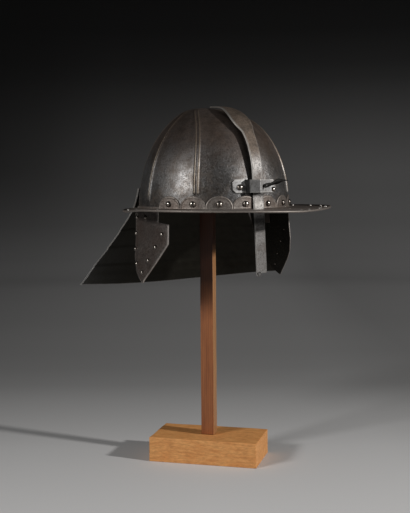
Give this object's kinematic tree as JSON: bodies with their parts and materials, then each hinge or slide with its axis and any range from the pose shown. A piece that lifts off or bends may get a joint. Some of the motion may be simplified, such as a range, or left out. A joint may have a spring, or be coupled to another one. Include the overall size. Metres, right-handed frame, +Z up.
{
  "type": "cavalry helmet on wooden stand",
  "caption": "Ribbed open-faced steel cavalry helmet with a flat peak, sliding nasal bar, pointed cheek pieces and a flared neck guard, held up by a post on a wooden block.",
  "frame": {"origin": "the point under the post's middle, on the underside of the stand's block", "axes": "the helmet faces -Y, +Z is up, and +X is the wearer's left"},
  "size_m": [0.354, 0.3769, 0.5184],
  "materials": {
    "skull_steel": "dark patinated wrought steel, half polished, mottled",
    "peak_steel": "dark brown steel with worn light edges",
    "guard_steel": "dark grey steel, dull inside",
    "cheek_steel": "reddish brown pitted steel with worn light edges",
    "bar_steel": "lighter grey steel with fine pitting",
    "staple_steel": "light grey hand-forged steel",
    "screw_steel": "blackened forged steel",
    "rivet_steel": "domed steel heads, worn bright on top",
    "hanger_leather": "dark old leather",
    "post_wood": "reddish brown, waxed",
    "base_wood": "light brown, satin, fine grain"
  },
  "bodies": {
    "helmet": {"skull": "skull_steel", "peak": "peak_steel", "neck_guard": "guard_steel", "cheek_right": "cheek_steel", "cheek_left": "cheek_steel", "hanger_right": "hanger_leather", "hanger_left": "hanger_leather", "staple": "staple_steel", "stand_post": "post_wood", "stand_base": "base_wood", "flange_rivet_1": "rivet_steel", "flange_rivet_2": "rivet_steel", "flange_rivet_3": "rivet_steel", "flange_rivet_4": "rivet_steel", "flange_rivet_5": "rivet_steel", "flange_rivet_6": "rivet_steel", "flange_rivet_7": "rivet_steel", "flange_rivet_8": "rivet_steel", "guard_rivet_1": "rivet_steel", "guard_rivet_2": "rivet_steel", "guard_rivet_3": "rivet_steel", "guard_rivet_4": "rivet_steel", "guard_rivet_5": "rivet_steel", "cheek_rivet_right_1": "rivet_steel", "cheek_rivet_right_2": "rivet_steel", "cheek_rivet_right_3": "rivet_steel", "cheek_rivet_right_4": "rivet_steel", "cheek_rivet_right_5": "rivet_steel", "cheek_rivet_right_6": "rivet_steel", "cheek_rivet_right_7": "rivet_steel", "cheek_rivet_right_8": "rivet_steel", "cheek_rivet_right_9": "rivet_steel", "cheek_rivet_left_1": "rivet_steel", "cheek_rivet_left_2": "rivet_steel", "cheek_rivet_left_3": "rivet_steel", "cheek_rivet_left_4": "rivet_steel", "cheek_rivet_left_5": "rivet_steel", "cheek_rivet_left_6": "rivet_steel", "cheek_rivet_left_7": "rivet_steel", "cheek_rivet_left_8": "rivet_steel", "cheek_rivet_left_9": "rivet_steel", "staple_rivet_right": "rivet_steel", "staple_rivet_left": "rivet_steel"},
    "nasal": {"nasal_bar": "bar_steel"},
    "screw": {"thumb_screw": "screw_steel"}
  },
  "joints": [
    {"name": "nasal_slide", "type": "slide", "parent": "helmet", "child": "nasal", "axis": [0, 0.0698, 0.9976], "range_m": [0, 0.07]},
    {"name": "screw_turn", "type": "hinge", "parent": "helmet", "child": "screw", "pos_m": [0.0035, -0.12872, 0.4026], "axis": [0.4683, -0.8448, 0.2588], "continuous": true}
  ]
}
